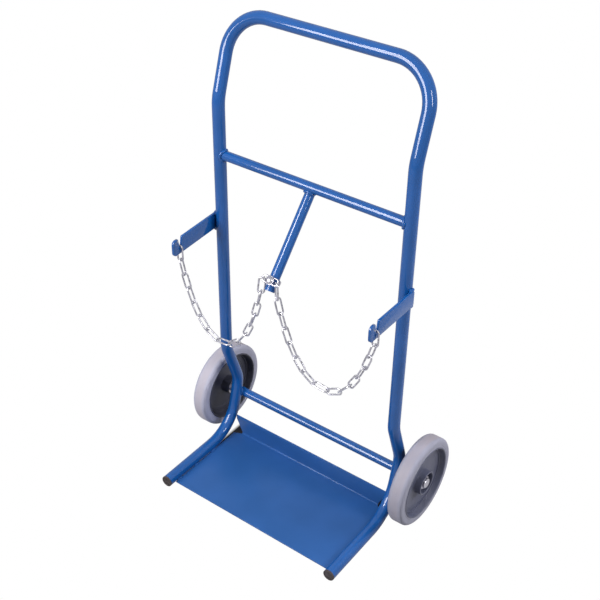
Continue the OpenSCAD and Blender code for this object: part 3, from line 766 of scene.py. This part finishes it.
def tyre_profile():
    seat, crown, shoulder = 0.081, 0.1, 0.0085
    half = ([(seat, half_tyre - 0.0006), (seat + 0.0006, half_tyre), (seat + 0.0026, half_tyre),
             (seat + 0.0031, half_tyre - 0.0005), (seat + 0.0038, half_tyre - 0.0005),
             (seat + 0.0043, half_tyre)]
            + [(x, z) for z, x in arc((half_tyre - shoulder, crown - shoulder), shoulder, 0, 40, 8)]
            + [(x - 0.0004, z - 0.0002) for z, x in
               arc((half_tyre - shoulder, crown - shoulder), shoulder, 42, 45, 2)]
            + [(x, z) for z, x in arc((half_tyre - shoulder, crown - shoulder), shoulder, 47, 90, 9)]
            + [(crown, 0.0045), (crown - 0.0001, 0.0009), (crown, 0.0005)])
    return half + [(r, -z) for r, z in reversed(half)]


# Painted shade: the right tyre's tones are the left's made darker, a shaded copy of the same rubber.
left_lit_tones = (srgb(150, 152, 170), srgb(170, 172, 192), srgb(176, 169, 176), srgb(122, 108, 110))
right_shaded_tones = (srgb(130, 132, 149), srgb(150, 152, 170), srgb(156, 148, 154), srgb(106, 94, 96))
for side_name, side, tones in (("left", -1, left_lit_tones), ("right", 1, right_shaded_tones)):
    name = side_name + "_solid_tyre"
    rubber = solid_rubber(name + "_rubber", side * wheel_x, tones)
    fit(name, lathed(name, tyre_profile(), rubber, at_wheel(side), steps=144, smooth=40),
        side_name + "_wheel", "tyre", side_name + "_tyre")

# ---------------------------------------------------------------- rims
# Moulded dark grey plastic: a deep dish each side of one web, a stiffening step on the web,
# and a boss with a ring-shaped recess round the sleeve that runs on the axle. The left one is
# painted darker: painted shade, the two rims being a shaded and a lit copy of one plastic.


def moulded_plastic(name, dark, pale, flow=0.02):
    material, place, shader = finish(name, IOR=1.48)
    cloud = place.grain(flow, 4.0, 0.6)
    dust = place.grain(0.05, 5.0, 0.7).above(0.45, 0.3)
    colour = cloud.blend(dark, pale)
    colour = (0.22 * dust).blend(colour, srgb(120, 118, 128))
    wire(shader, Base_Color=colour, Roughness=0.34 + 0.16 * cloud,
         Normal=place.grain(0.0008, 2.0).bump(0.00003))
    return material


def rim_profile():
    face, web_out, web_in = 0.0188, 0.005, 0.0
    lip = 0.0805
    out_side = [(0.01005, 0.0130), (0.0152, 0.0130), (0.0155, 0.0127), (0.0155, 0.0065),
                (0.0160, 0.0060), (0.0230, 0.0060), (0.0235, 0.0065), (0.0235, 0.0192),
                (0.0240, 0.0198), (0.0264, 0.0198), (0.0270, 0.0192), (0.0275, 0.0075),
                (0.0285, 0.0056), (0.0305, web_out), (0.0600, web_out), (0.0606, 0.0053),
                (0.0612, 0.0057), (0.0700, 0.0057), (0.0705, 0.0060), (0.0708, 0.0076),
                (0.0712, 0.0080), (0.0726, 0.0080), (0.0730, 0.0076), (0.0736, 0.0066),
                (0.0748, 0.0066), (0.0753, 0.0072), (0.0776, 0.0170), (0.0780, 0.0174),
                (0.0784, face - 0.0003), (0.0787, face), (0.08045, face),
                (0.08097, face - 0.0005)]
    in_side = [(0.08097, 0.0005 - face), (lip, -face), (0.0787, -face), (0.0780, -0.0174),
               (0.0776, -0.0170), (0.0753, -0.0030), (0.0748, -0.0024), (0.0736, -0.0024),
               (0.0726, -0.0034), (0.0712, -0.0034), (0.0705, -0.0020), (0.0700, -0.0007),
               (0.0612, -0.0007), (0.0600, web_in), (0.0230, web_in),
               (0.0205, -0.0012), (0.0192, -0.0195), (0.0187, -0.0200), (0.01005, -0.0200)]
    return out_side + in_side


# Painted shade: the left rim's tones are the right's made darker, a shaded copy of the same plastic.
for side_name, side, tones in (("left", -1, (srgb(48, 50, 62), srgb(62, 64, 80))),
                               ("right", 1, (srgb(66, 70, 90), srgb(86, 90, 112)))):
    name = side_name + "_moulded_rim"
    plastic = moulded_plastic(name + "_plastic", *tones)
    fit(name, lathed(name, rim_profile(), plastic, at_wheel(side), steps=120, smooth=30),
        side_name + "_wheel", "rim", side_name + "_rim")

# ---------------------------------------------------------------- axle fittings
# Spacer, inner washer, outer washer and a domed push-on cap at each end of the axle.
axle_zinc = zinc_plate("axle_zinc", dull=0.03, dark=0.1)[0]
washer_zinc = zinc_plate("washer_zinc", dull=0.2, dark=0.7)[0]
coat(["left_axle_spacer", "right_axle_spacer", "left_inner_washer", "right_inner_washer"],
     axle_zinc)
for side_name, side in (("left", -1), ("right", 1)):
    name = side_name + "_outer_ring"
    fit(name, lathed(name, rounded_ring(0.01003, 0.015, 0.0133, 0.0149, 0.0004), washer_zinc,
                     at_wheel(side)), "frame", "zinc", side_name + "_outer_washer")
    name = side_name + "_domed_cap"
    cap = ([(0, 0.02003), (0.01003, 0.02003), (0.01003, 0.01493), (0.0109, 0.01493),
            (0.01103, 0.0151), (0.01103, 0.0180)] + arc((0.00803, 0.01803), 0.003, 8, 84, 8)
           + [(0.0052, 0.0210), (0.0046, 0.0208), (0.0042, 0.02075), (0, 0.02075)])
    fit(name, lathed(name, cap, axle_zinc, at_wheel(side)),
        "frame", "zinc", side_name + "_axle_cap")

# ---------------------------------------------------------------- runner plugs
# Black plastic plugs pressed into the open ends of the runners. The head has a ribbed face
# inside a raised rim, and stands a few millimetres proud of the tube.
plug_black = moulded_plastic("plug_plastic", srgb(36, 30, 31), srgb(62, 54, 56), flow=0.006)
plug_y = -0.1785
rib_pitch = 0.0024


def plug(name, x):
    steps, head = 96, 0.0035
    work = bmesh.new()
    outline = [(0.0024, 0), (0.0040, 0), (0.0056, 0), (0.0072, 0), (0.0086, 0),
               (0.0098, 0), (0.0101, 1), (0.0105, 2), (0.0118, 2), (0.0124, 3), (0.0127, 4)]
    heights = {1: head - 0.0006, 2: head, 3: head - 0.0002, 4: head - 0.0007}
    rings = []
    for radius, kind in outline:
        ring = []
        for i in range(steps):
            angle = 2 * math.pi * i / steps
            px, py = radius * math.cos(angle), radius * math.sin(angle)
            rib = 0.5 + 0.5 * math.cos(2 * math.pi * px / rib_pitch)
            z = heights.get(kind, head - 0.0011 + 0.0008 * rib)
            ring.append(work.verts.new((px, py, z)))
        rings.append(ring)
    for radius, z in ((0.0127, 0.0), (0.0105, 0.0), (0.0103, -0.014), (0.0086, -0.014),
                      (0.0086, 0.0006)):
        rings.append(round_of(work, radius, z, steps))
    tip, back = work.verts.new((0, 0, head - 0.0003)), work.verts.new((0, 0, 0.0006))
    for a, b in zip(rings, rings[1:]):
        for i in range(steps):
            work.faces.new((a[i], a[(i + 1) % steps], b[(i + 1) % steps], b[i]))
    for i in range(steps):
        work.faces.new((tip, rings[0][i], rings[0][(i + 1) % steps]))
        work.faces.new((back, rings[-1][(i + 1) % steps], rings[-1][i]))
    work.transform(Matrix.Translation((x, plug_y, tube_r)) @ turn(quarter, "X"))
    return plain_mesh(name, plug_black)(work)


for side_name, side in (("left", -1), ("right", 1)):
    fit(side_name + "_ribbed_plug", plug(side_name + "_ribbed_plug", side * half_track),
        "frame", "plug", side_name + "_runner_plug")

# ---------------------------------------------------------------- studio
# A plain floor that the camera sees as pure white, without shadows, but for a painted shadow: a
# dark patch painted in under the plate. A pale surround, a large soft box at the front left with a
# flatter one over it, a narrow one at the right, and fill from the back right and above.
# The rectangle under the plate where the painted shadow lies.
patch_half_w, patch_half_l = 0.214, 0.112
patch_middle_y = -0.034
patch_fade = 0.008
floor_mesh = bpy.data.meshes.new("floor")
floor_mesh.from_pydata([(-6, -6, 0), (6, -6, 0), (6, 6, 0), (-6, 6, 0)], [], [(0, 1, 2, 3)])
floor = bpy.data.objects.new("floor", floor_mesh)
bpy.context.scene.collection.objects.link(floor)


def ray(tree, kind):
    path = Socket(tree).add("ShaderNodeLightPath")
    return Socket(tree, path.socket.node.outputs["Is " + kind + " Ray"])


floor_material = bpy.data.materials.new("floor_white")
floor_material.use_nodes = True
tree = floor_material.node_tree
shader = tree.nodes["Principled BSDF"]
shader.inputs["Roughness"].default_value = 0.8
shader.inputs["Specular IOR Level"].default_value = 0.1
white = Socket(tree).add("ShaderNodeEmission", {}, {"Color": (1, 1, 1, 1), "Strength": 1.0})
spot = Socket(tree).add("ShaderNodeTexCoord", out=3)
wide, deep = spot.axis("X"), spot.axis("Y") - patch_middle_y
# under is 1 inside that rectangle: there the floor is painted near black, a painted shadow, and the
# camera sees it instead of white.
under = ((1 - wide.math("ABSOLUTE", wide).above(patch_half_w, patch_fade))
         * (1 - deep.math("ABSOLUTE", deep).above(patch_half_l, patch_fade)))
floor_grey_and_painted_shadow = under.blend((0.3, 0.3, 0.31, 1), (0.03, 0.03, 0.035, 1))
tree.links.new(floor_grey_and_painted_shadow.socket, shader.inputs["Base Color"])
seen = ((ray(tree, "Camera") + ray(tree, "Transmission")) * (1 - under)
        + 0.35 * ray(tree, "Glossy")).clamped()
lit = Socket(tree).add("ShaderNodeMixShader", {}, {0: seen, 1: Socket(tree, shader.outputs[0]),
                       2: white})
tree.links.new(lit.socket, tree.nodes["Material Output"].inputs[0])
floor_mesh.materials.append(floor_material)

world = bpy.data.worlds.new("studio")
world.use_nodes = True
bpy.context.scene.world = world
tree = world.node_tree
height = Socket(tree).add("ShaderNodeTexCoord").axis("Z")
surround = 0.6 + 0.15 * height.above(0.0, 0.9)
glossy, camera_ray = ray(tree, "Glossy"), ray(tree, "Camera")
level = camera_ray + (1 - camera_ray) * (glossy * surround + (1 - glossy) * 0.1)
background = tree.nodes["Background"]
background.inputs["Color"].default_value = (1, 1, 1, 1)
tree.links.new(level.socket, background.inputs["Strength"])


def lamp(name, place, aim, width, height, power, mirrored=True):
    data = bpy.data.lights.new(name, "AREA")
    data.shape = "RECTANGLE"
    data.size, data.size_y, data.energy = width, height, power
    data.color = (1.0, 0.97, 0.95)
    light = bpy.data.objects.new(name, data)
    light.location = place
    light.rotation_euler = (Vector(aim) - Vector(place)).to_track_quat("-Z", "Y").to_euler()
    light.visible_glossy = mirrored
    bpy.context.scene.collection.objects.link(light)


lamp("soft_box", (-1.0, -2.5, 1.65), (0, 0, 0.8), 1.5, 1.25, 74)
lamp("soft_box_top", (-1.0, -2.45, 2.75), (0, 0, 0.6), 1.2, 0.42, 32)
lamp("strip", (2.0, -0.45, 1.75), (0.2, 0.08, 0.95), 0.24, 0.9, 13)
lamp("side_fill", (1.15, 0.75, 0.8), (0.2, 0.05, 0.45), 0.6, 0.6, 14, mirrored=False)
lamp("overhead", (0.4, -0.4, 6.0), (0, 0, 0.4), 3.0, 3.0, 190, mirrored=False)

bpy.context.scene.view_settings.view_transform = "Standard"
